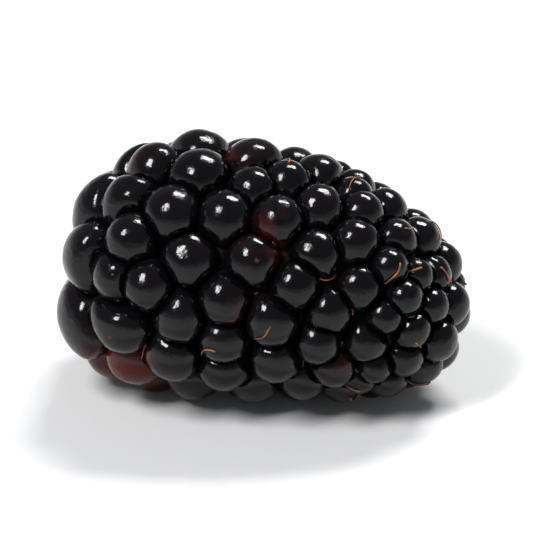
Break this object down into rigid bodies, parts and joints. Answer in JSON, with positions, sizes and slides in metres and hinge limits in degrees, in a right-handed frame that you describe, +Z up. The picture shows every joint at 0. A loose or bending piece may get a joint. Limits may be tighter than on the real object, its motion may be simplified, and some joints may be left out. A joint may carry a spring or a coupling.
{
  "type": "bramble berry",
  "caption": "Ripe bramble berry lying on its side: glossy drupelets packed round a pale receptacle, with a red under-ripe patch at the stalk end.",
  "frame": {"origin": "on the surface that the berry rests on, under the middle of its bounding box", "axes": "+X towards the berry's tip, -X towards its stalk end, +Z up"},
  "size_m": [0.0308, 0.02, 0.0197],
  "materials": {
    "black_skin": "near-black glossy fruit skin",
    "red_skin": "dark red glossy fruit skin",
    "receptacle_flesh": "matt yellow-green flesh"
  },
  "bodies": {
    "root": {"drupelets_black": "black_skin", "drupelets_red": "red_skin", "receptacle": "receptacle_flesh"}
  },
  "joints": []
}
